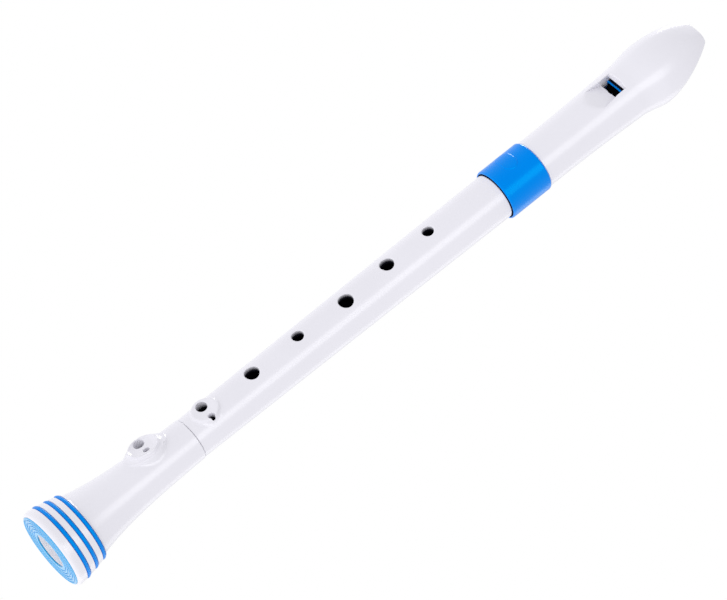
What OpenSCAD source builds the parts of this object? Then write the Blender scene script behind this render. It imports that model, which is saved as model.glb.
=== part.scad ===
// Soprano recorder in three joints: head, body and foot.
// The bore runs along +Z, the bell end stands on z = 0 and the finger holes face -Y.

/* [Lengths] */
// Height of the mouthpiece tip above the bell end
total_len = 328.5; // [326:0.5:332]
// Height of the seam between the foot and the body
foot_seam_z = 68.5; // [68:0.5:70]
// Height of the seam between the body and the head
head_seam_z = 222.5; // [220:0.5:224]
// Depth of the body's lower tenon in the foot
lower_tenon_len = 12; // [9:0.5:12.5]
// Depth of the body's upper tenon in the head
upper_tenon_len = 23.5; // [20:0.5:25]

/* [Bore] */
// Radius of the bore in the foot
foot_bore_r = 5.1; // [4.8:0.1:5.15]
// Radius of the body's bore at its lower end
body_bore_low_r = 5.2; // [5.1:0.1:5.4]
// Radius of the body's bore at its upper end
body_bore_high_r = 6.5; // [6:0.1:6.6]
// Radius of the bore in the head
head_bore_r = 6.7; // [6.5:0.05:6.8]

/* [Body] */
// Outer radius of the body at the foot seam
body_low_r = 8.66; // [8.6:0.02:8.8]
// Outer radius of the body at the head seam
body_high_r = 9.78; // [9.7:0.01:10]
// Radius of the body's lower tenon
lower_tenon_r = 6.85; // [6.7:0.05:6.9]
// Radius of the body's upper tenon
upper_tenon_r = 8.8; // [8.6:0.05:8.85]

/* [Bell] */
// Outer radius of the bell lip
lip_r = 17; // [16.5:0.1:17.5]
// Radius of the end insert
insert_r = 15.5; // [15:0.1:15.7]
// Radius of the opening in the end insert
insert_hole_r = 7.4; // [7:0.1:7.5]
// Thickness of the end insert's plate
insert_t = 2.4; // [2:0.1:2.6]
// Height of the lowest coloured ring's centre
ring_low_z = 5.45; // [5.3:0.05:5.7]
// Distance from one coloured ring to the next
ring_pitch = 4.4; // [4.2:0.05:4.6]
// Width of each coloured ring
ring_w = 1.8; // [1.5:0.1:1.9]

/* [Foot] */
// Outer radius of the foot at the body seam
foot_top_r = 8.92; // [8.85:0.01:9.1]
// Turn of the foot from the line of the finger holes
foot_turn_deg = 19; // [0:0.5:25]
// Height of the foot's finger chimney
chimney_z = 51; // [50:0.1:52]
// Distance of the chimney's rim from the bore axis
chimney_top = 11.3; // [10.8:0.1:11.6]
// Radius of the chimney's rim
chimney_r = 6.4; // [6.3:0.1:6.8]

/* [Head] */
// Turn of the head from the line of the finger holes
head_turn_deg = 5; // [0:0.5:15]
// Outer radius of the head just above the collar
head_low_r = 10.42; // [10.3:0.02:10.6]
// Outer radius of the beak's widest place
beak_r = 13.4; // [12.8:0.1:13.6]
// Distance of the beak's widest place from the tip
beak_widest_from_tip = 24; // [24:0.5:26]
// Half the width of the beak's tip
tip_half_w = 7.3; // [7.1:0.1:8]
// Depth of the tip in front of the bore axis
tip_front = 6.2; // [6:0.1:6.4]
// Depth of the tip's back face in front of the bore axis
tip_back = 2.2; // [1:0.1:2.3]
// Radius of the hollow sweep under the beak
beak_cut_r = 60; // [50:1:80]

/* [Window and windway] */
// Distance of the labium edge from the tip
labium_from_tip = 44.7; // [44:0.1:45.5]
// Length of the window opening
window_len = 3.8; // [3.5:0.1:4.2]
// Width of the window and of the windway
window_w = 9.8; // [9:0.1:10]
// Depth of the labium edge in front of the bore axis
labium_y = 6.8; // [6.75:0.05:7]
// Height of the windway
windway_h = 1.1; // [1:0.05:1.2]

/* [Collar] */
// Outer radius of the collar
collar_r = 11; // [10.8:0.1:11.4]
// Length of the collar
collar_len = 19.8; // [18:0.1:21]

/* [Hidden] */
$fn = 96;
eps = 0.5;
fixed_gap = 0.02;
running_gap = 0.08;
seam_gap = 0.1;
white = [0.93, 0.93, 0.96];
blue = [0, 0.45, 0.95];
black = [0.08, 0.08, 0.09];

// Bell and foot
lip_round = 1.2;
lip_top_z = 3.2;
bell_taper = 0.206;
bell_top_z = 15.6;
ring_depth = 1.9;
flare_base_r = 8.6;
flare_gain = 4.95;
flare_len = 19.3;
foot_bore_low_z = 8;
foot_bore_high_z = 40;
hollow_wall = 2;
hollow_inner_r = 8.4;
insert_lip_t = 0.6;
hollow_r = 13.3;
hollow_top_z = 34;
spigot_len = 3;
spigot_wall = 1.5;
ridge_count = 5;
ridge_depth = 0.4;
ridge_w = 0.7;

// Finger holes: height, diameter, turn from the front line
tone_holes = [[190, 4.7, 0], [169, 5.8, 0], [147.2, 6.1, 8], [124, 4.9, 0], [101.1, 6, 0]];
thumb_hole = [199, 5.5, 180];
pad_z = 78;
pad_r = 5.4;
pad_top = 9.2;
dish_depth = 0.9;
rim_break = 0.4;
chimney_dish = 1.2;
body_pair = [4.5, 2.7];
body_pair_x = [-2.1, 4.1];
foot_pair = [4.2, 2.5];
foot_pair_x = [-3.9, 1.6];

// Seals
seal_section_r = 0.52;
seal_groove_w = 1.3;
upper_seal_from_seam = [6.5, 17.5];
foot_seal_from_seam = 6.5;

// Head
head_swell = 1.1;
head_swell_len = 48;
head_swell_power = 2.2;
shoulder_len = 14;
collar_seat_r = 10.2;
collar_chamfer = 0.35;
beak_widest_z = total_len - beak_widest_from_tip;
labium_z = total_len - labium_from_tip;
window_top_z = labium_z + window_len;
socket_top_z = head_seam_z + upper_tenon_len + 0.6;
ramp_slope = 0.338;
ramp_len = 16;
ramp_flare = 0.09;
labium_t = 0.3;
roof_y_low = labium_y + 1.1;
roof_end_slope = 0.37;
exit_chamfer = 1;
exit_chamfer_len = 2.5;
roof_y_tip = tip_front - 2.1;
block_nose = 1.55;
block_bevel = 0.3;
core_tip_r = 5.6;
beak_heel_y = 13;
beak_heel_from_tip = 30;
tablet_w = 11;
tablet_h = 6.4;
tablet_rise = 0.25;
tablet_turn_deg = 13;

function smooth(t) = let (u = min(1, max(0, t))) u * u * (3 - 2 * u);
function arc_drop(r, d) = r - sqrt(r * r - d * d);
function arc_through(drop, d) = (d * d + drop * drop) / (2 * drop);
function bell_r(z) = lip_r - (z - lip_top_z) * bell_taper;
function flare_r(z) = flare_base_r + flare_gain * exp(-(z - bell_top_z) / flare_len);
function body_r(z) = body_low_r
    + (body_high_r - body_low_r) * (z - foot_seam_z) / (head_seam_z - foot_seam_z);
function tube_r(z) = head_low_r
    + head_swell * pow(min(1, (z - head_seam_z - collar_len) / head_swell_len), head_swell_power);
function shoulder_r(z) = tube_r(z) + (beak_r - head_low_r - head_swell)
    * smooth((z - beak_widest_z + shoulder_len) / shoulder_len);
function ogive_r(z, widest, tip) = widest
    - arc_drop(arc_through(widest - tip, beak_widest_from_tip), z - beak_widest_z);

// Turns a point of a side view, given as depth and height, into a bar across the object
module across(w) {
    rotate([90, 0, 90])
        linear_extrude(w, center = true)
            children();
}

// A drilled hole from the bore axis out to the front
module drill(z, d, turn = 0, x = 0) {
    rotate(turn)
        translate([x, 0, z])
            rotate([90, 0, 0])
                cylinder(d = d, h = 2 * lip_r);
}

// A raised round finger rest that points to the front, with its rim's edge broken
module finger_rest(z, top, rim_r) {
    translate([0, 0, z])
        rotate([90, 0, 0])
            rotate_extrude()
                polygon([[0, 0], [rim_r, 0], [rim_r, top - rim_break], [rim_r - rim_break, top], [0, top]]);
}

// The coved ramps that lead from the tube, at depth base, up to a finger rest's rim above and below it
module rest_ramps(z, top, rim_r, base, cove) {
    ramp_z = rim_r + cove;
    arc = [for (a = [0:15:90]) [ramp_z - cove * sin(a), base + cove * (1 - cos(a))]];
    translate([0, 0, z])
        rotate([90, 0, 0])
            intersection() {
                cylinder(r = ramp_z, h = top - rim_break);
                rotate([90, 0, 90])
                    linear_extrude(1.5 * rim_r, center = true)
                        polygon(concat([[ramp_z, 0]], arc, [for (i = [6:-1:0]) [-arc[i][0], arc[i][1]]],
                            [[-ramp_z, 0]]));
            }
}

// The ball that hollows a finger rest
module dish(z, top, rim_r, depth) {
    edge_r = rim_r - 0.7;
    ball_r = arc_through(depth, edge_r);
    translate([0, depth - ball_r - top, z])
        sphere(r = ball_r);
}

module bell_ring(i) {
    z = ring_low_z + i * ring_pitch;
    r = bell_r(z) + 0.15;
    color(blue)
        rotate_extrude()
            translate([0, z]) {
                translate([r - ring_w / 2, 0])
                    circle(d = ring_w);
                translate([r - ring_depth, -ring_w / 2])
                    square([ring_depth - ring_w / 2, ring_w]);
            }
}

module ring_groove(i) {
    z = ring_low_z + i * ring_pitch;
    rotate_extrude()
        translate([bell_r(z) + 0.15 - ring_depth - fixed_gap, z - ring_w / 2])
            square([ring_depth + eps, ring_w]);
}

module seal(z, tenon_r) {
    floor_r = tenon_r + running_gap - 2 * (seal_section_r + fixed_gap);
    color(black)
        translate([0, 0, z])
            rotate_extrude()
                translate([floor_r + fixed_gap + seal_section_r, 0])
                    circle(r = seal_section_r);
}

module seal_groove(z, tenon_r) {
    floor_r = tenon_r + running_gap - 2 * (seal_section_r + fixed_gap);
    rotate_extrude()
        translate([floor_r, z - seal_groove_w / 2])
            square([tenon_r - floor_r + eps, seal_groove_w]);
}

module foot_outside() {
    rotate_extrude()
        polygon(concat([[0, 0], [lip_r - lip_round, 0]],
            [for (a = [15:15:75]) [lip_r - lip_round * (1 - sin(a)), lip_round * (1 - cos(a))]],
            [[lip_r, lip_round], [lip_r, lip_top_z], [bell_r(bell_top_z), bell_top_z]],
            [for (i = [0:14]) let (z = bell_top_z + i * (foot_seam_z - seam_gap - bell_top_z) / 14)
                [max(flare_r(z), foot_top_r), z]],
            [[0, foot_seam_z - seam_gap]]));
}

module foot_hollow() {
    rotate_extrude()
        polygon(concat([[hollow_inner_r, insert_t - eps], [hollow_r, insert_t - eps],
            [hollow_r, insert_t + spigot_len + 1]],
            [for (z = [bell_top_z:3:hollow_top_z]) [flare_r(z) - hollow_wall, z]],
            [[foot_bore_r + hollow_wall, hollow_top_z],
            [foot_bore_r + hollow_wall, foot_bore_low_z]]));
}

// The step in the bell's end that takes the insert, round the mouth of the inner tube
module insert_seat() {
    rotate_extrude()
        polygon([[0, -eps], [insert_r + fixed_gap, -eps], [insert_r + fixed_gap, insert_t],
            [hollow_inner_r, insert_t], [hollow_inner_r, insert_lip_t + fixed_gap],
            [0, insert_lip_t + fixed_gap]]);
}

module foot_joint() {
    socket_z = foot_seam_z - lower_tenon_len - seam_gap;
    color(white)
        rotate(-foot_turn_deg)
            difference() {
                union() {
                    foot_outside();
                    finger_rest(chimney_z, chimney_top, chimney_r);
                    rest_ramps(chimney_z, chimney_top, chimney_r, flare_r(chimney_z), 2.6);
                }
                dish(chimney_z, chimney_top, chimney_r, chimney_dish);
                insert_seat();
                foot_hollow();
                translate([0, 0, insert_lip_t])
                    cylinder(r1 = insert_hole_r, r2 = foot_bore_r, h = foot_bore_low_z - insert_lip_t);
                cylinder(r = foot_bore_r, h = foot_bore_high_z);
                translate([0, 0, foot_bore_high_z])
                    cylinder(r1 = foot_bore_r, r2 = body_bore_low_r, h = socket_z - foot_bore_high_z);
                translate([0, 0, socket_z])
                    cylinder(r = lower_tenon_r + running_gap, h = lower_tenon_len + eps);
                for (i = [0:2])
                    ring_groove(i);
                for (i = [0:1])
                    drill(chimney_z, foot_pair[i], 0, foot_pair_x[i]);
            }
}

module bell_end_insert() {
    first_r = hollow_inner_r + 0.4;
    ridge_pitch = (insert_r - first_r) / ridge_count;
    color(blue)
        difference() {
            union() {
                cylinder(r = insert_r, h = insert_t);
                cylinder(r = hollow_r - fixed_gap, h = insert_t + spigot_len);
            }
            translate([0, 0, -eps])
                cylinder(r = insert_hole_r, h = insert_t + 2 * eps);
            translate([0, 0, insert_lip_t])
                cylinder(r = hollow_inner_r + fixed_gap, h = insert_t);
            translate([0, 0, insert_t])
                cylinder(r = hollow_r - spigot_wall, h = spigot_len + eps);
            for (i = [0:ridge_count - 1])
                rotate_extrude()
                    translate([first_r + i * ridge_pitch, -eps])
                        square([ridge_pitch - ridge_w, ridge_depth + eps]);
        }
}

module body_joint() {
    bottom_z = foot_seam_z - lower_tenon_len;
    top_z = head_seam_z + upper_tenon_len;
    color(white)
        difference() {
            union() {
                translate([0, 0, bottom_z])
                    cylinder(r = lower_tenon_r, h = lower_tenon_len + eps);
                translate([0, 0, foot_seam_z])
                    cylinder(r1 = body_low_r, r2 = body_high_r, h = head_seam_z - foot_seam_z);
                translate([0, 0, head_seam_z - eps])
                    cylinder(r = upper_tenon_r, h = upper_tenon_len + eps);
                finger_rest(pad_z, pad_top, pad_r);
            }
            dish(pad_z, pad_top, pad_r, dish_depth);
            translate([0, 0, bottom_z - eps])
                cylinder(r1 = body_bore_low_r, r2 = body_bore_high_r, h = top_z - bottom_z + 2 * eps);
            for (hole = concat(tone_holes, [thumb_hole]))
                drill(hole[0], hole[1], hole[2]);
            for (i = [0:1])
                drill(pad_z, body_pair[i], 0, body_pair_x[i]);
            for (d = upper_seal_from_seam)
                seal_groove(head_seam_z + d, upper_tenon_r);
            seal_groove(foot_seam_z - foot_seal_from_seam, lower_tenon_r);
        }
}

// The turned outside of the head, from the collar seat to the tip
module head_outside() {
    shoulder_z = head_seam_z + collar_len;
    rotate_extrude()
        polygon(concat([[0, head_seam_z + seam_gap], [collar_seat_r, head_seam_z + seam_gap],
            [collar_seat_r, shoulder_z]],
            [for (i = [0:16]) let (z = shoulder_z + i * (beak_widest_z - shoulder_z) / 16)
                [shoulder_r(z), z]],
            [for (i = [1:12]) let (z = beak_widest_z + i * beak_widest_from_tip / 12)
                [ogive_r(z, beak_r, tip_half_w), z]],
            [[0, total_len]]));
}

// Side view of all the space in front of the beak's front curve
module beak_front_waste() {
    across(4 * beak_r)
        polygon(concat([[-2 * beak_r, beak_widest_z]],
            [for (i = [0:12]) let (z = beak_widest_z + i * beak_widest_from_tip / 12)
                [-ogive_r(z, beak_r - 0.2, tip_front), z]],
            [[-tip_front, total_len + eps], [-2 * beak_r, total_len + eps]]));
}

// Roller that hollows the underside of the beak from the heel to the tip
module beak_under_cut() {
    heel = [beak_heel_y, total_len - beak_heel_from_tip];
    tip = [-tip_back, total_len];
    chord = norm(heel - tip);
    out = [tip[1] - heel[1], heel[0] - tip[0]] / chord;
    rise = sqrt(beak_cut_r * beak_cut_r - chord * chord / 4);
    centre = (heel + tip) / 2 + out * rise;
    across(4 * beak_r)
        translate(centre)
            circle(r = beak_cut_r, $fn = 192);
}

// Side view of everything behind the sloping line that runs from the window to the tip
module behind_line(y_low, y_tip) {
    slope = (y_tip - y_low) / (total_len - window_top_z);
    across(4 * beak_r)
        polygon([[-y_low + slope * 5, window_top_z - 5], [-y_tip - slope * 5, total_len + 5],
            [2 * beak_r, total_len + 5], [2 * beak_r, window_top_z - 5]]);
}

// The space for the block: a bore that narrows to the tip, with the flat-sided key that carries the windway
module windway_core(gap, w, z0) {
    translate([0, 0, z0])
        cylinder(r1 = head_bore_r - gap, r2 = core_tip_r - gap, h = total_len + eps - z0);
    translate([-w / 2, -roof_y_low - eps, z0])
        cube([w, roof_y_low + eps, total_len + eps - z0]);
}

// The window with its ramp, its sloping end wall and the chamfer where the windway opens into it
module window_cut() {
    edge_y = roof_y_low + exit_chamfer;
    end_w = window_w / 2 + ramp_len * ramp_flare;
    intersection() {
        across(4 * beak_r)
            polygon([[-labium_y, labium_z], [-labium_y, window_top_z + eps],
                [-roof_y_low, window_top_z + eps], [-roof_y_low, window_top_z + exit_chamfer_len],
                [-edge_y, window_top_z],
                [-2 * beak_r, window_top_z + roof_end_slope * (2 * beak_r - edge_y)],
                [-labium_y - ramp_len * ramp_slope, labium_z - ramp_len]]);
        rotate([90, 0, 0])
            linear_extrude(4 * beak_r)
                polygon([[-window_w / 2, total_len], [-window_w / 2, labium_z], [-end_w, labium_z - ramp_len],
                    [end_w, labium_z - ramp_len], [window_w / 2, labium_z], [window_w / 2, total_len]]);
    }
    translate([-window_w / 2, -labium_y + labium_t, labium_z - 7])
        cube([window_w, 3, 7]);
    translate([-window_w / 2, -labium_y - eps, labium_z])
        cube([window_w, labium_y, window_len]);
}

module head_joint() {
    color(white)
        rotate(head_turn_deg)
            difference() {
                head_outside();
                beak_front_waste();
                beak_under_cut();
                translate([0, 0, head_seam_z - eps])
                    cylinder(r = upper_tenon_r + running_gap, h = socket_top_z - head_seam_z + eps);
                translate([0, 0, socket_top_z - eps])
                    cylinder(r = head_bore_r, h = window_top_z - socket_top_z + 2 * eps);
                window_cut();
                intersection() {
                    windway_core(0, window_w, window_top_z - 0.001);
                    behind_line(roof_y_low, roof_y_tip);
                }
            }
}

module windway_block() {
    color(blue)
        rotate(head_turn_deg)
            difference() {
                intersection() {
                    windway_core(fixed_gap, window_w - 2 * fixed_gap, window_top_z - block_nose);
                    behind_line(roof_y_low - windway_h, roof_y_tip - windway_h);
                    cylinder(r = 2 * beak_r, h = total_len);
                }
                beak_under_cut();
                across(window_w + eps)
                    translate([-roof_y_low + windway_h, window_top_z - block_nose])
                        rotate(45)
                            square(block_bevel * sqrt(2), center = true);
            }
}

module joint_collar() {
    z0 = head_seam_z + seam_gap;
    z1 = head_seam_z + collar_len;
    c = collar_chamfer;
    color(blue)
        union() {
            rotate_extrude()
                polygon([[collar_seat_r + fixed_gap, z0], [collar_r - c, z0], [collar_r, z0 + c],
                    [collar_r, z1 - c], [collar_r - c, z1], [collar_seat_r + fixed_gap, z1]]);
            collar_tablet((z0 + z1) / 2);
        }
}

// A plain low tablet with round ends on the front of the collar
module collar_tablet(z) {
    intersection() {
        rotate_extrude()
            translate([collar_seat_r + fixed_gap, z - tablet_h])
                square([collar_r + tablet_rise - collar_seat_r - fixed_gap, 2 * tablet_h]);
        rotate(-tablet_turn_deg)
            translate([0, 0, z])
                rotate([90, 0, 0]) {
                    for (side = [-1, 1])
                        translate([side * (tablet_w - tablet_h) / 2, 0, 0])
                            cylinder(d = tablet_h, h = 2 * collar_r);
                    translate([-(tablet_w - tablet_h) / 2, -tablet_h / 2, 0])
                        cube([tablet_w - tablet_h, tablet_h, 2 * collar_r]);
                }
    }
}

module head_seal_upper() { seal(head_seam_z + upper_seal_from_seam[1], upper_tenon_r); }
module head_seal_lower() { seal(head_seam_z + upper_seal_from_seam[0], upper_tenon_r); }
module foot_seal() { seal(foot_seam_z - foot_seal_from_seam, lower_tenon_r); }
module bell_ring_upper() { bell_ring(2); }
module bell_ring_middle() { bell_ring(1); }
module bell_ring_lower() { bell_ring(0); }

head_joint();
windway_block();
joint_collar();
head_seal_upper();
head_seal_lower();
body_joint();
foot_seal();
foot_joint();
bell_ring_upper();
bell_ring_middle();
bell_ring_lower();
bell_end_insert();
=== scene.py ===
"""Looks of the soprano recorder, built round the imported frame.

Shapes are worked out in millimetres in the row frame: +Z along the bore, finger holes facing -Y.
A shaped piece is a field, negative inside the material, that is meshed with a surface net.
"""
import math

import bpy
import numpy as np
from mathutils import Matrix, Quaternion, Vector


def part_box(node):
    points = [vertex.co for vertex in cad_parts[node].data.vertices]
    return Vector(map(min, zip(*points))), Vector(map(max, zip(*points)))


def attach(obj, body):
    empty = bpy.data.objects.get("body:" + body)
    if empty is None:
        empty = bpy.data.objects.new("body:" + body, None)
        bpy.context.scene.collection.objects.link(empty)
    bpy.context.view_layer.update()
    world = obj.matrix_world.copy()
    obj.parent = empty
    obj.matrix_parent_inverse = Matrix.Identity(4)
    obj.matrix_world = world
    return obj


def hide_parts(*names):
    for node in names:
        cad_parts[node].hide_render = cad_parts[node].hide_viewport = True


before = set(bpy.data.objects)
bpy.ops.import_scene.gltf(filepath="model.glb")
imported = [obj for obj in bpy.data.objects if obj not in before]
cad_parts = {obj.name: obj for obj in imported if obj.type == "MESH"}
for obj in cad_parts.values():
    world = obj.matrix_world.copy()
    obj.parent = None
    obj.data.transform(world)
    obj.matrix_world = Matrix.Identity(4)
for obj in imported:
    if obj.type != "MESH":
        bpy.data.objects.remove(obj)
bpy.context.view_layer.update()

MM = 0.001


def low(node):
    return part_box(node)[0] / MM


def high(node):
    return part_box(node)[1] / MM


# ---------------------------------------------------------------- dimensions, in millimetres
TIP_Z = high("head_joint").z
FOOT_SEAM_Z = high("foot_joint").z
HEAD_SEAM_Z = low("joint_collar").z
SHOULDER_Z = high("joint_collar").z

BODY_BOTTOM_Z, BODY_TOP_Z = low("body_joint").z, high("body_joint").z
BODY_LOW_R, BODY_HIGH_R = 8.66, 9.78
LOWER_TENON_R, UPPER_TENON_R = 6.85, 8.8
RUNNING_GAP, FIXED_GAP, SEAM_GAP = 0.08, 0.02, 0.1
TENON_ROOT = 3
BORE_LOW_R, BORE_HIGH_R = 5.2, 6.5
FOOT_BORE_R = 5.1
HEAD_BORE_R = 6.7
CORE_TIP_R = 5.6

# Finger holes: height, diameter, turn from the front line in degrees
TONE_HOLES = ((190.0, 4.7, 0), (169.0, 5.8, 0), (147.2, 6.1, 8), (124.0, 4.9, 0), (101.1, 6.0, 0))
THUMB_HOLE = (199.0, 5.5, 180)
# Double holes: height, then (offset to +X, diameter) of each
BODY_PAIR = (78.0, ((-2.1, 4.5), (4.1, 2.7)))
FOOT_PAIR = (51.0, ((-3.9, 4.2), (1.6, 2.5)))
FOOT_TURN = math.radians(-19)
HEAD_TURN = math.radians(5)
PAD_TOP, PAD_R, PAD_RIM, PAD_DISH = 9.2, 5.4, 0.6, 0.6
CHIMNEY_TOP, CHIMNEY_R, CHIMNEY_COVE = 11.3, 6.4, 2.8
CHIMNEY_RIM, CHIMNEY_DISH, CHIMNEY_FLOOR_POWER, CHIMNEY_SIDE_COVE = 0.2, 1.4, 5, 0.6

SEAL_R, SEAL_GROOVE_W = 0.52, 1.3
UPPER_SEALS = (6.5, 17.5)
FOOT_SEAL = 6.5

LIP_R, LIP_TOP_Z, BELL_TAPER, BELL_TOP_Z = 17.0, 3.2, 0.206, 15.6
# The flare above the bell: radius far up it, extra radius at the bell, fade length and least radius
FLARE_R, FLARE_RISE, FLARE_FADE, FLARE_NECK_R = 8.6, 4.95, 19.3, 8.92
RING_NODES = ("bell_ring_lower", "bell_ring_middle", "bell_ring_upper")
RING_Z = tuple((low(n).z + high(n).z) / 2 for n in RING_NODES)
RING_W, RING_DEPTH, RING_STAND, RING_SIDE_GAP, RING_EDGE = 1.8, 1.9, 0.15, 0.12, 0.75
INSERT_R, INSERT_HOLE_R, INSERT_T, INSERT_LIP_T = 15.5, 7.4, 2.4, 0.6
RIDGES, RIDGE_W, RIDGE_DEPTH, RIDGE_DRAFT, RIDGE_START = 5, 0.7, 0.4, 0.08, 0.4
HOLLOW_R, HOLLOW_INNER_R, HOLLOW_TOP_Z, SPIGOT_LEN, SPIGOT_WALL = 13.3, 8.4, 34.0, 3.0, 1.5
HOLLOW_WAIST_Z, SHELL_WALL, TUBE_WALL, TUBE_FLARE_LEN = 8, 2, 2, 6.1
MOUTH_LEN, MOUTH_TOP_Z = 7.4, 12

BEAK_R, BEAK_LEN = 13.4, 24.0
BEAK_Z = TIP_Z - BEAK_LEN
TIP_HALF_W, TIP_FRONT, TIP_BACK = 7.3, 6.2, 2.2
BEAK_HEEL = (13.0, TIP_Z - 30.0)
BEAK_SET_BACK = 0.8
BEAK_CUT_R = 60.0
HEAD_LOW_R, HEAD_SWELL, HEAD_SWELL_LEN, HEAD_SWELL_POWER = 10.42, 1.1, 48.0, 2.2
HEAD_SHOULDER_LEN = 14.0
LABIUM_Z, LABIUM_Y = TIP_Z - 44.7, 6.8
WINDOW_W, WINDOW_LEN = 9.8, 3.8
WINDOW_TOP_Z = LABIUM_Z + WINDOW_LEN
RAMP_SLOPE, RAMP_FLARE, LABIUM_T = 0.338, 0.09, 0.3
ROOF_LOW, ROOF_TIP, WINDWAY_H = LABIUM_Y + 1.1, TIP_FRONT - 2.1, 1.1
ROOF_END_SLOPE, EXIT_CHAMFER, EXIT_CHAMFER_LEN, BLOCK_NOSE = 0.37, 1.0, 2.5, 1.55
UNDERCUT_LEN, UNDERCUT_DEPTH, OVERLAP = 7, 3, 1
SOCKET_TOP_Z = BODY_TOP_Z + 0.6
SOCKET_FLOOR_GAP = 0.1
COLLAR_R, COLLAR_SEAT_R = 11.0, 10.2
TABLET_W, TABLET_H, TABLET_RISE, TABLET_TURN = 11.0, 6.4, 0.25, -13.0

# How far an edge is rounded
HAIR_EDGE, SHARP_EDGE, CUT_EDGE, GROOVE_EDGE = 0.05, 0.1, 0.12, 0.15
SEAM_EDGE, BORE_EDGE, TENON_EDGE, HOLE_EDGE = 0.35, 0.4, 0.6, 0.55
BEAK_EDGE, TIP_EDGE, COLLAR_EDGE = 1.6, 0.8, 0.9
LIP_OUTER_EDGE, LIP_EDGE, BELL_TOP_EDGE = 1.2, 2.6, 0.7


# ---------------------------------------------------------------- fields
def smooth_max(a, b, k):
    """Larger of two fields, with the edge where they meet rounded over about k."""
    h = np.clip(k - np.abs(a - b), 0, None) / k
    return np.maximum(a, b) + h * h * k / 4


def smooth_min(a, b, k):
    return -smooth_max(-a, -b, k)


def span(v, lo, hi, k):
    """Field of the slab lo < v < hi."""
    return smooth_max(lo - v, v - hi, k)


def step(t):
    t = np.clip(t, 0, 1)
    return t * t * (3 - 2 * t)


def turned(p, angle):
    """Points turned by -angle, so that a shape drawn on the front line lies at angle."""
    c, s = math.cos(angle), math.sin(angle)
    x, y, z = p[..., 0], p[..., 1], p[..., 2]
    return x * c + y * s, y * c - x * s, z


def hole(p, z, diameter, turn=0.0, offset=0.0):
    """A drilled hole from the axis out to the front."""
    x, y, h = turned(p, math.radians(turn))
    return np.maximum(np.hypot(x - offset, h - z) - diameter / 2, y)


def finger_rest(p, z, top, radius):
    """A round boss that points to the front and stops at top."""
    x, y, h = p[..., 0], p[..., 1], p[..., 2]
    return np.maximum(smooth_max(np.hypot(x, h - z) - radius, -y - top, 0.7), y)


def dish(p, z, top, radius, depth):
    """A shallow round hollow, as a ball sunk into the front."""
    ball = (radius * radius + depth * depth) / (2 * depth)
    away = np.sqrt(p[..., 0] ** 2 + (p[..., 1] + top - depth + ball) ** 2 + (p[..., 2] - z) ** 2)
    return away - ball


def pan(p, z, top, radius, depth):
    """A hollow with a nearly level floor and a steep wall."""
    reach = np.hypot(p[..., 0], p[..., 2] - z) / radius
    return p[..., 1] + top - depth * (1 - reach ** CHIMNEY_FLOOR_POWER)


def skirt(p, z, base, radius, side_radius, cove):
    """The coved foot of a finger rest: radius long in Z, side_radius wide, rising from depth base."""
    x, y, h = p[..., 0], p[..., 1], p[..., 2]
    reach = np.hypot(x * radius / side_radius, h - z)
    hollow = cove - np.hypot(np.maximum(radius - reach, 0), base + cove + y)
    body = np.where(-y > base, np.maximum(hollow, -y - base - cove), -y - base)
    return np.maximum(smooth_max(body, reach - radius, 0.3), y)


def groove(r, z, floor, centre, width):
    """A groove cut in from outside, down to the radius floor."""
    return np.maximum(floor - r, np.abs(z - centre) - width / 2)


def body_radius(z):
    return BODY_LOW_R + (BODY_HIGH_R - BODY_LOW_R) * (z - FOOT_SEAM_Z) / (HEAD_SEAM_Z - FOOT_SEAM_Z)


def seal_floor(tenon_r):
    """Radius of the groove that holds a tenon's seal."""
    return tenon_r + RUNNING_GAP - 2 * (SEAL_R + FIXED_GAP)


def body_field(p):
    z, r = p[..., 2], np.hypot(p[..., 0], p[..., 1])
    bottom, top = BODY_BOTTOM_Z, BODY_TOP_Z
    barrel_ends = span(z, FOOT_SEAM_Z + SEAM_GAP, HEAD_SEAM_Z - SEAM_GAP, SHARP_EDGE)
    barrel = smooth_max(r - body_radius(z), barrel_ends, SEAM_EDGE)
    lower_ends = span(z, bottom, FOOT_SEAM_Z + TENON_ROOT, SHARP_EDGE)
    lower = smooth_max(r - LOWER_TENON_R, lower_ends, TENON_EDGE)
    upper_ends = span(z, HEAD_SEAM_Z - TENON_ROOT, top, SHARP_EDGE)
    upper = smooth_max(r - UPPER_TENON_R, upper_ends, TENON_EDGE)
    solid = np.minimum(barrel, np.minimum(lower, upper))
    pad_z, pad = BODY_PAIR
    solid = smooth_min(solid, finger_rest(p, pad_z, PAD_TOP, PAD_R), 1.3)
    solid = smooth_max(solid, -dish(p, pad_z, PAD_TOP, PAD_R - PAD_RIM, PAD_DISH), 0.5)
    bore = r - (BORE_LOW_R + (BORE_HIGH_R - BORE_LOW_R) * (z - bottom) / (top - bottom))
    solid = smooth_max(solid, -bore, BORE_EDGE)
    for height, diameter, turn in TONE_HOLES + (THUMB_HOLE,):
        solid = smooth_max(solid, -hole(p, height, diameter, turn), HOLE_EDGE)
    for offset, diameter in pad:
        solid = smooth_max(solid, -hole(p, pad_z, diameter, 0, offset), 0.3)
    for up in UPPER_SEALS:
        cut = groove(r, z, seal_floor(UPPER_TENON_R), HEAD_SEAM_Z + up, SEAL_GROOVE_W)
        solid = smooth_max(solid, -cut, GROOVE_EDGE)
    cut = groove(r, z, seal_floor(LOWER_TENON_R), FOOT_SEAM_Z - FOOT_SEAL, SEAL_GROOVE_W)
    return smooth_max(solid, -cut, GROOVE_EDGE)


def bell_radius(z):
    return LIP_R - (z - LIP_TOP_Z) * BELL_TAPER


def flare_radius(z):
    return np.maximum(FLARE_R + FLARE_RISE * np.exp(-(z - BELL_TOP_Z) / FLARE_FADE), FLARE_NECK_R)


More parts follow.
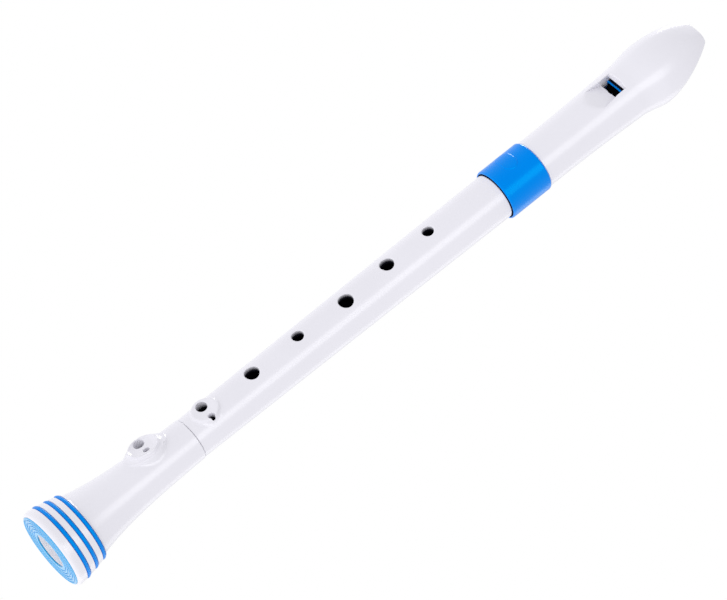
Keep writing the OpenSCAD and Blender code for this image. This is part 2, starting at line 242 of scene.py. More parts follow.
def foot_field(p):
    z, r = p[..., 2], np.hypot(p[..., 0], p[..., 1])
    rest_z, pair = FOOT_PAIR
    band = smooth_max(r - LIP_R, r - bell_radius(z), LIP_OUTER_EDGE)
    band = smooth_max(band, -z, LIP_EDGE)
    band = smooth_max(band, z - BELL_TOP_Z, BELL_TOP_EDGE)
    flare_ends = span(z, BELL_TOP_Z - 4, FOOT_SEAM_Z, SHARP_EDGE)
    flare = smooth_max(r - flare_radius(z), flare_ends, SEAM_EDGE)
    solid = smooth_min(band, flare, 0.5)
    base = float(flare_radius(rest_z))
    foot = skirt(p, rest_z, base, CHIMNEY_R + CHIMNEY_COVE, CHIMNEY_R + CHIMNEY_SIDE_COVE, CHIMNEY_COVE)
    foot = smooth_max(foot, -p[..., 1] - CHIMNEY_TOP, 0.3)
    rest = smooth_min(finger_rest(p, rest_z, CHIMNEY_TOP, CHIMNEY_R), foot, 0.5)
    solid = smooth_min(solid, rest, 0.9)
    solid = smooth_max(solid, -pan(p, rest_z, CHIMNEY_TOP, CHIMNEY_R - CHIMNEY_RIM, CHIMNEY_DISH), 0.3)
    seat = np.minimum(np.maximum(HOLLOW_INNER_R - r, z - INSERT_T), z - INSERT_LIP_T - FIXED_GAP)
    solid = smooth_max(solid, -np.maximum(r - INSERT_R - FIXED_GAP, seat), GROOVE_EDGE)
    inside_flare = np.minimum(HOLLOW_R, flare_radius(np.maximum(z, BELL_TOP_Z)) - SHELL_WALL)
    hollow_out = np.where(z < HOLLOW_WAIST_Z, HOLLOW_R, inside_flare)
    hollow = np.maximum(r - hollow_out, np.maximum(z - HOLLOW_TOP_Z, -z))
    widening = np.clip((HOLLOW_WAIST_Z - z) / TUBE_FLARE_LEN, 0, 1)
    tube = FOOT_BORE_R + TUBE_WALL + (HOLLOW_INNER_R - FOOT_BORE_R - TUBE_WALL) * widening
    hollow = np.maximum(hollow, tube - r)
    solid = smooth_max(solid, -hollow, 0.3)
    # The insert's opening narrows to the bore
    mouth = r - INSERT_HOLE_R + (INSERT_HOLE_R - FOOT_BORE_R) * (z - INSERT_LIP_T) / MOUTH_LEN
    solid = smooth_max(solid, -np.maximum(mouth, z - MOUTH_TOP_Z), 0.3)
    solid = smooth_max(solid, FOOT_BORE_R - r, BORE_EDGE)
    socket = np.maximum(r - LOWER_TENON_R - RUNNING_GAP, BODY_BOTTOM_Z - SOCKET_FLOOR_GAP - z)
    solid = smooth_max(solid, -socket, BORE_EDGE)
    for centre in RING_Z:
        floor = bell_radius(centre) + RING_STAND - RING_DEPTH - FIXED_GAP
        solid = smooth_max(solid, -groove(r, z, floor, centre, RING_W), 0.25)
    for offset, diameter in pair:
        solid = smooth_max(solid, -hole(p, rest_z, diameter, 0, offset), 0.45)
    return solid


def tube_radius(z):
    t = np.clip((z - SHOULDER_Z) / HEAD_SWELL_LEN, 0, 1)
    rise = BEAK_R - HEAD_LOW_R - HEAD_SWELL
    start = step((z - BEAK_Z + HEAD_SHOULDER_LEN) / HEAD_SHOULDER_LEN)
    return HEAD_LOW_R + HEAD_SWELL * t ** HEAD_SWELL_POWER + rise * start


def ogive(z, widest, tip):
    """Distance from the axis along the beak: widest where the beak starts, tip at its end."""
    drop = widest - tip
    radius = (BEAK_LEN ** 2 + drop ** 2) / (2 * drop)
    along = np.clip(z - BEAK_Z, 0, 1.3 * BEAK_LEN)
    return widest - radius + np.sqrt(radius ** 2 - along ** 2)


def under_cut(y, z):
    """Field of the roller that hollows the beak's underside."""
    (heel_y, heel_z), tip_y = BEAK_HEEL, -TIP_BACK
    chord = math.hypot(TIP_Z - heel_z, heel_y - tip_y)
    out_y, out_z = (TIP_Z - heel_z) / chord, (heel_y - tip_y) / chord
    rise = math.sqrt(BEAK_CUT_R ** 2 - chord ** 2 / 4)
    centre_y = (heel_y + tip_y) / 2 + out_y * rise
    centre_z = (heel_z + TIP_Z) / 2 + out_z * rise
    return np.hypot(y - centre_y, z - centre_z) - BEAK_CUT_R


def line_y(z, y_low, y_tip):
    """Depth in front of the axis of a straight line from the window to the tip."""
    return y_low + (y_tip - y_low) * (z - WINDOW_TOP_Z) / (TIP_Z - WINDOW_TOP_Z)


def beak_outside(p):
    x, y, z = p[..., 0], p[..., 1], p[..., 2]
    start = step((z - BEAK_Z + HEAD_SHOULDER_LEN) / HEAD_SHOULDER_LEN)
    set_back = BEAK_SET_BACK * start * (1 - step((z - BEAK_Z) / BEAK_LEN))
    r = np.hypot(x, y - set_back)
    outside = r - np.minimum(tube_radius(z), ogive(z, BEAK_R, TIP_HALF_W))
    front = -y - ogive(z, BEAK_R - BEAK_SET_BACK, TIP_FRONT)
    outside = smooth_max(outside, front, BEAK_EDGE)
    outside = smooth_max(outside, -under_cut(y, z), BEAK_EDGE)
    return smooth_max(outside, z - TIP_Z, TIP_EDGE)


def core_radius(z):
    """Radius of the space for the block, which narrows to the tip."""
    along = np.clip((z - WINDOW_TOP_Z) / (TIP_Z - WINDOW_TOP_Z), 0, 1)
    return HEAD_BORE_R + (CORE_TIP_R - HEAD_BORE_R) * along


def head_field(p):
    x, y, z = p[..., 0], p[..., 1], p[..., 2]
    r = np.hypot(x, y)
    solid = beak_outside(p)
    seat = smooth_max(r - COLLAR_SEAT_R, span(z, HEAD_SEAM_Z, SHOULDER_Z + 2, SHARP_EDGE), 0.5)
    solid = np.minimum(smooth_max(solid, SHOULDER_Z - z, 0.5), seat)
    solid = smooth_max(solid, -np.maximum(r - UPPER_TENON_R - RUNNING_GAP, z - SOCKET_TOP_Z), BORE_EDGE)
    solid = smooth_max(solid, -np.maximum(r - HEAD_BORE_R, z - WINDOW_TOP_Z), 0.3)
    # The space for the block, with the windway's channel in front of it
    key = np.maximum(np.abs(x) - WINDOW_W / 2, np.maximum(-y - ROOF_LOW - OVERLAP, y))
    core = np.maximum(np.minimum(r - core_radius(z), key), WINDOW_TOP_Z - OVERLAP - z)
    core = np.maximum(core, -y - line_y(z, ROOF_LOW, ROOF_TIP))
    solid = smooth_max(solid, -core, 0.25)
    # The ramp that falls to the labium, and the end of the windway's roof above it
    slope = math.hypot(1, RAMP_SLOPE)
    ramp = (y + LABIUM_Y + RAMP_SLOPE * (LABIUM_Z - z)) / slope
    side = np.abs(x) - WINDOW_W / 2 - RAMP_FLARE * np.maximum(LABIUM_Z - z, 0)
    edge_y = ROOF_LOW + EXIT_CHAMFER
    roof_end = (z - WINDOW_TOP_Z + ROOF_END_SLOPE * (y + edge_y)) / math.hypot(1, ROOF_END_SLOPE)
    ramp_cut = np.maximum(np.maximum(ramp, side), np.maximum(roof_end, y + LABIUM_Y))
    solid = smooth_max(solid, -ramp_cut, 0.3)
    chamfer = -y - edge_y + (z - WINDOW_TOP_Z) * EXIT_CHAMFER / EXIT_CHAMFER_LEN
    chamfer = np.maximum(chamfer, y + ROOF_LOW - EXIT_CHAMFER / 2)
    chamfer = np.maximum(chamfer, span(z, LABIUM_Z, WINDOW_TOP_Z + EXIT_CHAMFER_LEN, HAIR_EDGE))
    solid = smooth_max(solid, -np.maximum(chamfer, side), CUT_EDGE)
    # The window down to the bore, and the cut that thins the labium from behind
    through = np.maximum(np.abs(x) - WINDOW_W / 2, span(z, LABIUM_Z, WINDOW_TOP_Z, HAIR_EDGE))
    solid = smooth_max(solid, -np.maximum(through, y), CUT_EDGE)
    under = np.maximum(-y - LABIUM_Y + LABIUM_T, y + UNDERCUT_DEPTH)
    under = np.maximum(np.abs(x) - WINDOW_W / 2, under)
    under = np.maximum(under, span(z, LABIUM_Z - UNDERCUT_LEN, LABIUM_Z + OVERLAP, HAIR_EDGE))
    return smooth_max(solid, -under, CUT_EDGE)


def block_field(p):
    x, y, z = p[..., 0], p[..., 1], p[..., 2]
    r = np.hypot(x, y)
    bottom = WINDOW_TOP_Z - BLOCK_NOSE
    key = np.maximum(np.abs(x) - WINDOW_W / 2 + FIXED_GAP, np.maximum(-y - ROOF_LOW - OVERLAP, y))
    solid = np.minimum(r - core_radius(z) + FIXED_GAP, key)
    solid = smooth_max(solid, -y - line_y(z, ROOF_LOW - WINDWAY_H, ROOF_TIP - WINDWAY_H), 0.2)
    solid = smooth_max(solid, -under_cut(y, z), 0.3)
    return smooth_max(solid, span(z, bottom, TIP_Z, SHARP_EDGE), SEAM_EDGE)


def collar_field(p):
    z, r = p[..., 2], np.hypot(p[..., 0], p[..., 1])
    solid = smooth_max(r - COLLAR_R, span(z, HEAD_SEAM_Z, SHOULDER_Z, SHARP_EDGE), COLLAR_EDGE)
    x, y, h = turned(p, math.radians(TABLET_TURN))
    arm = np.clip(x, -(TABLET_W - TABLET_H) / 2, (TABLET_W - TABLET_H) / 2)
    pill = np.hypot(x - arm, h - (HEAD_SEAM_Z + SHOULDER_Z) / 2) - TABLET_H / 2
    tablet = smooth_max(smooth_max(pill, r - COLLAR_R - TABLET_RISE, 0.3), y, SHARP_EDGE)
    solid = smooth_min(solid, tablet, GROOVE_EDGE)
    return smooth_max(solid, COLLAR_SEAT_R + FIXED_GAP - r, 0.3)


# ---------------------------------------------------------------- meshing
CORNERS = [(i, j, k) for i in (0, 1) for j in (0, 1) for k in (0, 1)]
CELL_EDGES = [(a, b) for a in range(8) for b in range(a + 1, 8) if bin(a ^ b).count("1") == 1]


def spaced(lo, hi, coarse, fine, *spans):
    """Grid lines from lo to hi: fine inside the spans, coarse elsewhere."""
    lines, at = [lo], lo
    while at < hi:
        near = min((max(a - at, at - b, 0) for a, b in spans), default=coarse)
        at += min(coarse, fine + near * 0.5)
        lines.append(at)
    return np.array(lines)


def ring_angles(coarse, fine, *spans):
    """Angles round the axis in degrees: fine inside the spans, coarse elsewhere, closed on itself."""
    lines = spaced(-180.0, 180.0, coarse, fine, *spans)
    return np.radians(-180 + (lines[:-1] + 180) * 360 / (lines[-1] + 180))


def polar_grid(radii, angles, heights, centre_y=None):
    """Points on a grid of radius, angle and height, from the front line. The centre may shift in Y."""
    r, a, z = np.meshgrid(radii, angles, heights, indexing="ij")
    shift = 0 if centre_y is None else centre_y(z)
    return np.stack([r * np.sin(a), -r * np.cos(a) + shift, z], axis=-1)


def surface_net(field, grid):
    """Vertices and quads of field = 0 on a grid that closes on itself along its second axis."""
    grid = np.concatenate([grid, grid[:, :1]], axis=1)
    value = field(grid)
    inside = value < 0
    size = np.array(inside.shape) - 1
    count = sum(inside[i:size[0] + i, j:size[1] + j, k:size[2] + k].astype(np.int8)
                for i, j, k in CORNERS)
    active = (count > 0) & (count < 8)
    index = np.full(active.shape, -1)
    index[active] = np.arange(active.sum())
    cells = np.argwhere(active)
    total, hits = np.zeros((len(cells), 3)), np.zeros(len(cells))
    for a, b in CELL_EDGES:
        at_a, at_b = tuple((cells + CORNERS[a]).T), tuple((cells + CORNERS[b]).T)
        va, vb = value[at_a], value[at_b]
        cross = (va < 0) != (vb < 0)
        t = np.where(cross, va / np.where(cross, va - vb, 1), 0)[:, None]
        total += cross[:, None] * (grid[at_a] * (1 - t) + grid[at_b] * t)
        hits += cross
    quads = []
    for axis in range(3):
        u, v = (axis + 1) % 3, (axis + 2) % 3
        change = np.diff(inside.astype(np.int8), axis=axis)
        for sign in (1, -1):
            at = np.argwhere(change == sign)
            keep = np.ones(len(at), bool)
            for other in (u, v):
                keep &= at[:, other] < size[other]
                if other != 1:
                    keep &= at[:, other] > 0
            at = at[keep]
            ring = []
            for back_u, back_v in ((0, 0), (1, 0), (1, 1), (0, 1)):
                cell = at.copy()
                cell[:, u] -= back_u
                cell[:, v] -= back_v
                cell[:, 1] %= size[1]
                ring.append(index[tuple(cell.T)])
            quads.append(np.stack(ring if sign == -1 else ring[::-1], axis=1))
    return total / hits[:, None], np.concatenate(quads)


def slope_of(field, points, h=0.01):
    """The field's gradient, from differences over h on each side."""
    return np.stack([(field(points + e) - field(points - e)) / (2 * h) for e in np.eye(3) * h], axis=-1)


def settle(field, points, limit=0.2, rounds=4, least_square=0.04):
    """Moves points onto the field's zero along its slope, by at most limit in each round."""
    for _ in range(rounds):
        slope = slope_of(field, points)
        square = np.maximum((slope ** 2).sum(axis=1), least_square)
        move = -field(points) / square
        reach = np.abs(move) * np.sqrt(square)
        move *= np.minimum(1, limit / np.maximum(reach, 1e-9))
        points = points + slope * move[:, None]
    return points


def add_object(name, points, faces, normals=None):
    mesh = bpy.data.meshes.new(name)
    mesh.from_pydata((points * MM).tolist(), [], faces.tolist() if hasattr(faces, "tolist") else faces)
    mesh.validate()
    mesh.polygons.foreach_set("use_smooth", np.ones(len(mesh.polygons), bool))
    if normals is not None:
        mesh.normals_split_custom_set_from_vertices(normals.tolist())
    mesh.update()
    obj = bpy.data.objects.new(name, mesh)
    bpy.context.scene.collection.objects.link(obj)
    return obj


def field_piece(name, field, grid, turn=0.0):
    """A piece meshed from its field, with the field's own slope as its shading normals."""
    points, quads = surface_net(field, grid)
    points = settle(field, points)
    normals = slope_of(field, points)
    normals /= np.maximum(np.linalg.norm(normals, axis=1, keepdims=True), 1e-9)
    if turn:
        c, s = math.cos(turn), math.sin(turn)
        spin = np.array([[c, -s, 0], [s, c, 0], [0, 0, 1]])
        points, normals = points @ spin.T, normals @ spin.T
    return add_object(name, points, quads, normals)


def rounded(corners, segments=5):
    """Outline through (radius, height, rounding) corners, with an arc at each rounded corner."""
    outline = []
    for i, (r, z, radius) in enumerate(corners):
        here = np.array([r, z])
        if not radius:
            outline.append(here)
            continue
        before = np.array(corners[i - 1][:2]) - here
        after = np.array(corners[(i + 1) % len(corners)][:2]) - here
        a, b = before / np.linalg.norm(before), after / np.linalg.norm(after)
        half = math.acos(np.clip(a @ b, -1, 1)) / 2
        centre = here + (a + b) / np.linalg.norm(a + b) * radius / math.sin(half)
        start, end = here + a * radius / math.tan(half), here + b * radius / math.tan(half)
        for t in np.linspace(0, 1, segments):
            away = (start - centre) * (1 - t) + (end - centre) * t
            outline.append(centre + away / np.linalg.norm(away) * radius)
    return np.array(outline)


def lathe_piece(name, outline, steps=160):
    """A turned piece from a closed outline of (radius, height) points, listed anticlockwise."""
    count = len(outline)
    angles = np.arange(steps) * 2 * math.pi / steps
    x, y = np.outer(np.sin(angles), outline[:, 0]), np.outer(-np.cos(angles), outline[:, 0])
    z = np.outer(np.ones(steps), outline[:, 1])
    points = np.stack([x, y, z], axis=-1).reshape(-1, 3)
    faces = [(i * count + j, i * count + (j + 1) % count,
              (i + 1) % steps * count + (j + 1) % count, (i + 1) % steps * count + j)
             for i in range(steps) for j in range(count)]
    return add_object(name, points, faces)


# ---------------------------------------------------------------- materials
def new_material(name):
    material = bpy.data.materials.new(name)
    material.use_nodes = True
    nodes = material.node_tree.nodes
    return material, nodes, material.node_tree.links, nodes["Principled BSDF"]


def noise(nodes, links, source, scale, detail=2.0):
    texture = nodes.new("ShaderNodeTexNoise")
    texture.inputs["Scale"].default_value = scale
    texture.inputs["Detail"].default_value = detail
    links.new(source, texture.inputs["Vector"])
    return texture.outputs["Fac"]


def ranged(nodes, links, source, low_value, high_value, start=0.3, stop=0.7):
    """Output that runs from low_value to high_value while the source runs from start to stop."""
    node = nodes.new("ShaderNodeMapRange")
    node.inputs["From Min"].default_value = start
    node.inputs["From Max"].default_value = stop
    node.inputs["To Min"].default_value = low_value
    node.inputs["To Max"].default_value = high_value
    links.new(source, node.inputs["Value"])
    return node.outputs["Result"]


def mixed(nodes, links, factor, a, b):
    """Colour output that runs from a to b with factor. a and b are colours or outputs."""
    node = nodes.new("ShaderNodeMix")
    node.data_type = "RGBA"
    links.new(factor, node.inputs["Factor"])
    for value, socket in ((a, node.inputs["A"]), (b, node.inputs["B"])):
        if isinstance(value, tuple):
            socket.default_value = (*value, 1)
        else:
            links.new(value, socket)
    return node.outputs["Result"]


def bore_light(nodes, links, place, radius, growth, soft):
    """1 outside and 0 inside a cone round the axis. Its radius at height 0 and its edge are in mm."""
    parts = nodes.new("ShaderNodeSeparateXYZ")
    links.new(place, parts.inputs["Vector"])
    flat = nodes.new("ShaderNodeCombineXYZ")
    links.new(parts.outputs["X"], flat.inputs["X"])
    links.new(parts.outputs["Y"], flat.inputs["Y"])
    away = nodes.new("ShaderNodeVectorMath")
    away.operation = "LENGTH"
    links.new(flat.outputs["Vector"], away.inputs[0])
    level = nodes.new("ShaderNodeMath")
    level.operation = "MULTIPLY_ADD"
    links.new(parts.outputs["Z"], level.inputs[0])
    level.inputs[1].default_value = -growth
    links.new(away.outputs["Value"], level.inputs[2])
    return ranged(nodes, links, level.outputs["Value"], 0, 1, radius * MM, (radius + soft) * MM)


def nose_light(nodes, links, place, low_z, high_z, far_z):
    """1 from low_z to high_z and above far_z, 0 elsewhere. The heights are in mm."""
    parts = nodes.new("ShaderNodeSeparateXYZ")
    links.new(place, parts.inputs["Vector"])
    steps = ((0, low_z), (1, high_z), (0, far_z))
    start, stop, again = (ranged(nodes, links, parts.outputs["Z"], a, 1 - a, z * MM, (z + HAIR_EDGE) * MM)
                          for a, z in steps)
    total = nodes.new("ShaderNodeMath")
    total.operation = "MULTIPLY_ADD"
    for value, socket in zip((start, stop, again), total.inputs):
        links.new(value, socket)
    return total.outputs["Value"]


BROAD_NOISE, SKIN_NOISE, SKIN_DETAIL, SKIN_DEPTH = 38, 2600, 3.0, 0.02
ROUGH_LOW, ROUGH_HIGH, COAT_ROUGH = 0.92, 1.1, 0.15
SHADOW_IOR, PLASTIC_IOR = 1.0, 1.5


def moulded(name, colour, rough, tint=0.03, grain=0.02, bore=None, nose=None, coat=0.0,
            gloss=(1, 1, 1)):
    """Injection-moulded plastic: slight colour drift, uneven gloss and a fine skin texture.

    bore is (radius, growth, soft edge) of the cone inside which the piece is in deep shadow.
    nose is (low, high, far): the piece is in deep shadow below low and between high and far.
    """
    material, nodes, links, shader = new_material(name)
    place = nodes.new("ShaderNodeTexCoord").outputs["Object"]
    broad = noise(nodes, links, place, BROAD_NOISE)
    skin = noise(nodes, links, place, SKIN_NOISE, SKIN_DETAIL)
    darker = tuple(c * (1 - tint) for c in colour)
    base = mixed(nodes, links, ranged(nodes, links, broad, 0, 1), colour, darker)
    lit = bore_light(nodes, links, place, *bore) if bore else None
    lit = nose_light(nodes, links, place, *nose) if nose else lit
    # Painted shade: where lit is 0 the colour becomes BORE_SHADE, and IOR 1 takes away the reflection there
    if lit:
        base = mixed(nodes, links, lit, BORE_SHADE, base)
        links.new(ranged(nodes, links, lit, SHADOW_IOR, PLASTIC_IOR, 0, 1), shader.inputs["IOR"])
    links.new(base, shader.inputs["Base Color"])
    uneven = ranged(nodes, links, broad, rough * ROUGH_LOW, rough * ROUGH_HIGH)
    links.new(uneven, shader.inputs["Roughness"])
    shader.inputs["Specular Tint"].default_value = (*gloss, 1)
    shader.inputs["Coat Weight"].default_value = coat
    shader.inputs["Coat Roughness"].default_value = COAT_ROUGH
    bump = nodes.new("ShaderNodeBump")
    bump.inputs["Strength"].default_value = grain
    bump.inputs["Distance"].default_value = SKIN_DEPTH * MM
    links.new(skin, bump.inputs["Height"])
    links.new(bump.outputs["Normal"], shader.inputs["Normal"])
    return material


WHITE = (0.82, 0.81, 0.88)
BORE_SHADE = (0.012, 0.012, 0.02)
BLUE = (0.0, 0.222, 0.86)
BLUE_GLOSS = (0.0, 1.0, 1.0)
ABS_ROUGH = 0.24

# Deep shadow in a bore: the cone's radius at height 0, its growth per mm and its soft edge
BORE_GROWTH = (BORE_HIGH_R - BORE_LOW_R) / (HEAD_SEAM_Z - FOOT_SEAM_Z)
BODY_SHADOW = (BORE_LOW_R + 1.3 - BORE_GROWTH * FOOT_SEAM_Z, BORE_GROWTH, 1.6)
HEAD_SHADOW = (HEAD_BORE_R + 0.06 * LABIUM_Z, -0.06, 0.25)
FOOT_SHADOW = (5.0, 0.04, 1.15)
BLOCK_SHADOW = (WINDOW_TOP_Z - BLOCK_NOSE + 0.2, WINDOW_TOP_Z - 0.2, WINDOW_TOP_Z + 9)

white_body = moulded("white_body", WHITE, ABS_ROUGH, bore=BODY_SHADOW)
white_head = moulded("white_head", WHITE, ABS_ROUGH, bore=HEAD_SHADOW)
white_foot = moulded("white_foot", WHITE, ABS_ROUGH, bore=FOOT_SHADOW)
blue_plastic = moulded("blue_collar", BLUE, ABS_ROUGH, gloss=BLUE_GLOSS)
blue_gloss = moulded("blue_insert", (0.05, 0.4, 0.8), 0.2, coat=0.4, gloss=BLUE_GLOSS)
blue_block = moulded("blue_block", (0.0, 0.25, 0.9), 0.25, nose=BLOCK_SHADOW, gloss=BLUE_GLOSS)
blue_rubber = moulded("blue_rubber", (0.0, 0.22, 0.82), 0.45, tint=0.06, grain=0.05, gloss=BLUE_GLOSS)
black_rubber = moulded("black_rubber", (0.02, 0.02, 0.022), 0.3, tint=0.2, grain=0.05)


# ---------------------------------------------------------------- pieces
def finish_piece(piece, material, body, slot, *nodes):
    """Gives a piece its material, the body it rides and the CAD nodes it replaces. slot is not used."""
    piece.data.materials.append(material)
    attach(piece, body)
    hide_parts(*nodes)
    return piece


def head_centre(z):
    """Y of the head's grid centre, which leaves the axis in the beak to stay behind the windway's roof."""
    return -2.4 * step((z - WINDOW_TOP_Z - 4) / (TIP_Z - WINDOW_TOP_Z - 8))


def make_body():
    hole_spans = [(z - d / 2 - 1, z + d / 2 + 1) for z, d, _ in TONE_HOLES + (THUMB_HOLE,)]
    edge_spans = [(BODY_BOTTOM_Z - 1, BODY_BOTTOM_Z + 1), (FOOT_SEAM_Z - 8, FOOT_SEAM_Z - 5),
                  (FOOT_SEAM_Z - 1, FOOT_SEAM_Z + 1), (BODY_PAIR[0] - 8, BODY_PAIR[0] + 8),
                  (HEAD_SEAM_Z - 1, HEAD_SEAM_Z + 1),
                  (BODY_TOP_Z - 1, BODY_TOP_Z + 1)]
    seal_spans = [(HEAD_SEAM_Z + up - 1, HEAD_SEAM_Z + up + 1) for up in UPPER_SEALS]
    heights = spaced(BODY_BOTTOM_Z - 0.7, BODY_TOP_Z + 0.8, 2.5, 0.24,
                     *hole_spans, *edge_spans, *seal_spans)
    angles = ring_angles(3.0, 1.25, (-42, 42), (-180, -157), (157, 180))
    grid = polar_grid(np.arange(4.8, 10.9, 0.28), angles, heights)
    piece = field_piece("body_tube", body_field, grid)
    return finish_piece(piece, white_body, "body", "white_plastic", "body_joint")


# Heights where the foot is meshed finely: the bell's bands, the chimney and the top edge
FOOT_FINE_SPANS = ((-0.5, 16.5), (41, 60), (67.5, 69))


def make_foot():
    heights = spaced(-0.5, FOOT_SEAM_Z + 0.5, 2.0, 0.24, *FOOT_FINE_SPANS)
    angles = ring_angles(3.0, 1.1, (-46, 46))
    grid = polar_grid(np.arange(4.7, 17.7, 0.28), angles, heights)
    piece = field_piece("foot_and_bell", foot_field, grid, FOOT_TURN)
    return finish_piece(piece, white_foot, "foot", "white_plastic", "foot_joint")


def make_head():
    heights = spaced(HEAD_SEAM_Z - 0.5, TIP_Z + 0.6, 1.6, 0.26, (HEAD_SEAM_Z - 0.5, HEAD_SEAM_Z + 1),
                     (SHOULDER_Z - 1, SHOULDER_Z + 1), (SOCKET_TOP_Z - 1, SOCKET_TOP_Z + 1),
                     (LABIUM_Z - 8, WINDOW_TOP_Z + 1.5), (TIP_Z - 6, TIP_Z + 1))
    angles = ring_angles(2.4, 1.2, (-52, 52))
    grid = polar_grid(np.arange(0.5, 15.0, 0.28), angles, heights, head_centre)
    piece = field_piece("head_and_beak", head_field, grid, HEAD_TURN)
    return finish_piece(piece, white_head, "head", "white_plastic", "head_joint")


def block_centre(z):
    """Y of the block's grid centre, which leaves the axis where the beak's underside cuts in."""
    return -1.85 * step((z - WINDOW_TOP_Z - 8) / (TIP_Z - WINDOW_TOP_Z - 8))


def make_block():
    heights = spaced(WINDOW_TOP_Z - 1, TIP_Z + 0.5, 1.2, 0.2,
                     (WINDOW_TOP_Z - 1, WINDOW_TOP_Z + 2), (TIP_Z - 2, TIP_Z + 1))
    angles = ring_angles(3.0, 1.2, (-46, 46))
    grid = polar_grid(np.arange(0.02, 9.2, 0.22), angles, heights, block_centre)
    piece = field_piece("windway_plug", block_field, grid, HEAD_TURN)
    return finish_piece(piece, blue_block, "head", "blue_block", "windway_block")


def make_collar():
    heights = spaced(HEAD_SEAM_Z - 0.5, SHOULDER_Z + 0.5, 1.0, 0.2,
                     (HEAD_SEAM_Z - 0.5, HEAD_SEAM_Z + 1.2), (HEAD_SEAM_Z + 6, HEAD_SEAM_Z + 14),
                     (SHOULDER_Z - 1.2, SHOULDER_Z + 0.5))
    angles = ring_angles(3.0, 1.0, (-48, 22))
    grid = polar_grid(np.arange(9.9, 12.1, 0.14), angles, heights)
    piece = field_piece("collar", collar_field, grid)
    return finish_piece(piece, blue_plastic, "head", "blue_collar", "joint_collar")


def make_ring(name, node, centre):
    outer = bell_radius(centre) + RING_STAND
    inner, half = outer - RING_DEPTH, RING_W / 2 - RING_SIDE_GAP
    outline = rounded([(inner, centre - half, 0.12), (outer, centre - half, RING_EDGE),
                       (outer, centre + half, RING_EDGE), (inner, centre + half, 0.12)], 7)
    return finish_piece(lathe_piece(name, outline, 200), blue_rubber, "foot", "blue_rings", node)


def make_insert():
    first = HOLLOW_INNER_R + RIDGE_START
    pitch = (INSERT_R - first) / RIDGES
    corners = [(HOLLOW_INNER_R + FIXED_GAP, INSERT_LIP_T, 0), (INSERT_HOLE_R, INSERT_LIP_T, 0.1),
               (INSERT_HOLE_R, 0, 0.2)]
    for i in range(RIDGES):
        start = first + i * pitch
        end = start + pitch - RIDGE_W
        corners += [(start, 0, 0.12), (start + RIDGE_DRAFT, RIDGE_DEPTH, 0.12),
                    (end - RIDGE_DRAFT, RIDGE_DEPTH, 0.12), (end, 0, 0.12)]
    corners += [(INSERT_R, 0, 0.2), (INSERT_R, INSERT_T, 0.1),
                (HOLLOW_R - FIXED_GAP, INSERT_T, 0), (HOLLOW_R - FIXED_GAP, INSERT_T + SPIGOT_LEN, 0.2),
                (HOLLOW_R - SPIGOT_WALL, INSERT_T + SPIGOT_LEN, 0.2), (HOLLOW_R - SPIGOT_WALL, INSERT_T, 0.1),
                (HOLLOW_INNER_R + FIXED_GAP, INSERT_T, 0.1)]
    piece = lathe_piece("end_insert", rounded(corners, 4), 200)
    return finish_piece(piece, blue_gloss, "foot", "blue_insert", "bell_end_insert")


def make_seal(name, node, z, tenon_r, body):
    centre_r = tenon_r + RUNNING_GAP - FIXED_GAP - SEAL_R
    turn = np.linspace(0, 2 * math.pi, 20, endpoint=False)
    outline = np.stack([centre_r + SEAL_R * np.cos(turn), z + SEAL_R * np.sin(turn)], axis=1)
    return finish_piece(lathe_piece(name, outline, 120), black_rubber, body, "seal_rubber", node)


make_head()
make_block()
make_collar()
make_body()
make_foot()
for name, node, centre in zip(("ring_low", "ring_mid", "ring_top"), RING_NODES, RING_Z):
    make_ring(name, node, centre)
make_insert()
for name, node, up in zip(("seal_head_low", "seal_head_up"), ("head_seal_lower", "head_seal_upper"),
                          UPPER_SEALS):
    make_seal(name, node, HEAD_SEAM_Z - SEAM_GAP + up, UPPER_TENON_R, "head_seals")
make_seal("seal_foot", "foot_seal", FOOT_SEAM_Z + SEAM_GAP - FOOT_SEAL, LOWER_TENON_R, "foot_seal_ring")


# ---------------------------------------------------------------- stage
def make_floor():
    """A pale floor that only the camera sees, and only from above, so the bell's end stays lit."""
    side, drop = 2.0, -0.3 * MM
    mesh = bpy.data.meshes.new("floor")
    corners = [(-side, -side, drop), (side, -side, drop), (side, side, drop), (-side, side, drop)]
    mesh.from_pydata(corners, [], [(0, 1, 2, 3)])
    floor = bpy.data.objects.new("floor", mesh)
    bpy.context.scene.collection.objects.link(floor)
    material, nodes, links, shader = new_material("pale_floor")
    shader.inputs["Base Color"].default_value = (0.9, 0.9, 0.9, 1)
    shader.inputs["Roughness"].default_value = 0.7
    clear = nodes.new("ShaderNodeBsdfTransparent")
    seen = nodes.new("ShaderNodeMath")
    seen.operation = "GREATER_THAN"
    links.new(nodes.new("ShaderNodeLightPath").outputs["Is Camera Ray"], seen.inputs[0])
    links.new(nodes.new("ShaderNodeNewGeometry").outputs["Backfacing"], seen.inputs[1])
    side_mix = nodes.new("ShaderNodeMixShader")
    links.new(seen.outputs["Value"], side_mix.inputs["Fac"])
    links.new(clear.outputs["BSDF"], side_mix.inputs[1])
    links.new(shader.outputs["BSDF"], side_mix.inputs[2])
    links.new(side_mix.outputs["Shader"], nodes["Material Output"].inputs["Surface"])
    mesh.materials.append(material)


SKY_FADE = 0.3


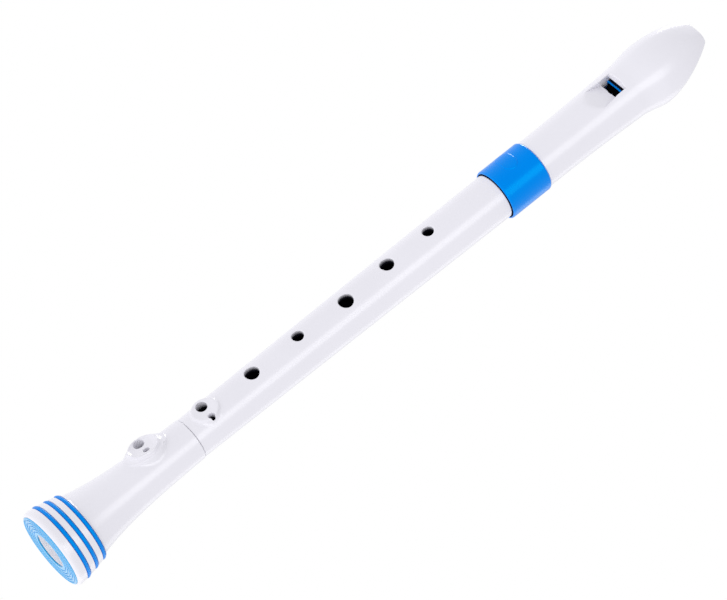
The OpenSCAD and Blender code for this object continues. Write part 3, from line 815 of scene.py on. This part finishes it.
def make_world():
    """White all round for the camera. The light itself fades from the bell's side to the beak's."""
    world = bpy.data.worlds.new("studio")
    world.use_nodes = True
    nodes, links = world.node_tree.nodes, world.node_tree.links
    parts = nodes.new("ShaderNodeSeparateXYZ")
    links.new(nodes.new("ShaderNodeTexCoord").outputs["Generated"], parts.inputs["Vector"])
    fade = ranged(nodes, links, parts.outputs["Z"], 1 + SKY_FADE, 1 - SKY_FADE, -1, 1)
    strength = nodes.new("ShaderNodeMath")
    strength.operation = "MAXIMUM"
    links.new(nodes.new("ShaderNodeLightPath").outputs["Is Camera Ray"], strength.inputs[0])
    links.new(fade, strength.inputs[1])
    background = nodes["Background"]
    background.inputs["Color"].default_value = (1, 1, 1, 1)
    links.new(strength.outputs["Value"], background.inputs["Strength"])
    bpy.context.scene.world = world


LIGHT_AIM = (0, 0, 0.16)
# Name, turn from the camera in degrees, reach, height, width and length in metres, power in watts,
# and whether it lights matt surfaces
LIGHTS = (("strip", 22, 1.2, 0.16, 0.6, 1.4, 7.1, False),
          ("edge", 130, 1.2, 0.16, 0.5, 1.4, 1.6, False),
          ("rim", -138, 1.0, 1.25, 0.5, 0.5, 8.5, True))

CAMERA_TURN = 37.0
CAMERA_REACH, CAMERA_DROP = 1.5056, 0.2919
CAMERA_AIM_Z, CAMERA_AIM_SIDE, CAMERA_ROLL, CAMERA_LENS = 0.15515, -0.0003, 51.407, 204.3


def around(turn, reach, height):
    """A place reach metres from the axis, turned from the front line towards +X."""
    a = math.radians(turn)
    return Vector((reach * math.sin(a), -reach * math.cos(a), height))


def make_light(name, place, target, width, height, power, diffuse):
    data = bpy.data.lights.new(name, "AREA")
    data.shape, data.size, data.size_y = "RECTANGLE", width, height
    data.energy = power
    light = bpy.data.objects.new(name, data)
    light.location = place
    light.rotation_mode = "QUATERNION"
    light.rotation_quaternion = (Vector(target) - place).to_track_quat("-Z", "Y")
    light.visible_diffuse = diffuse
    bpy.context.scene.collection.objects.link(light)


def make_camera():
    data = bpy.data.cameras.new("camera")
    data.sensor_width, data.lens = 36, CAMERA_LENS
    data.clip_start, data.clip_end = 0.05, 20
    camera = bpy.data.objects.new("camera", data)
    camera.location = around(CAMERA_TURN, CAMERA_REACH, -CAMERA_DROP)
    look = around(CAMERA_TURN + 90, CAMERA_AIM_SIDE, CAMERA_AIM_Z) - camera.location
    camera.rotation_mode = "QUATERNION"
    level = look.to_track_quat("-Z", "Y")
    camera.rotation_quaternion = level @ Quaternion((0, 0, 1), math.radians(CAMERA_ROLL))
    bpy.context.scene.collection.objects.link(camera)
    bpy.context.scene.camera = camera


make_floor()
make_world()
for name, turn, reach, height, width, length, power, diffuse in LIGHTS:
    make_light(name, around(CAMERA_TURN + turn, reach, height), LIGHT_AIM, width, length, power, diffuse)
make_camera()
bpy.context.scene.view_settings.view_transform = "Standard"
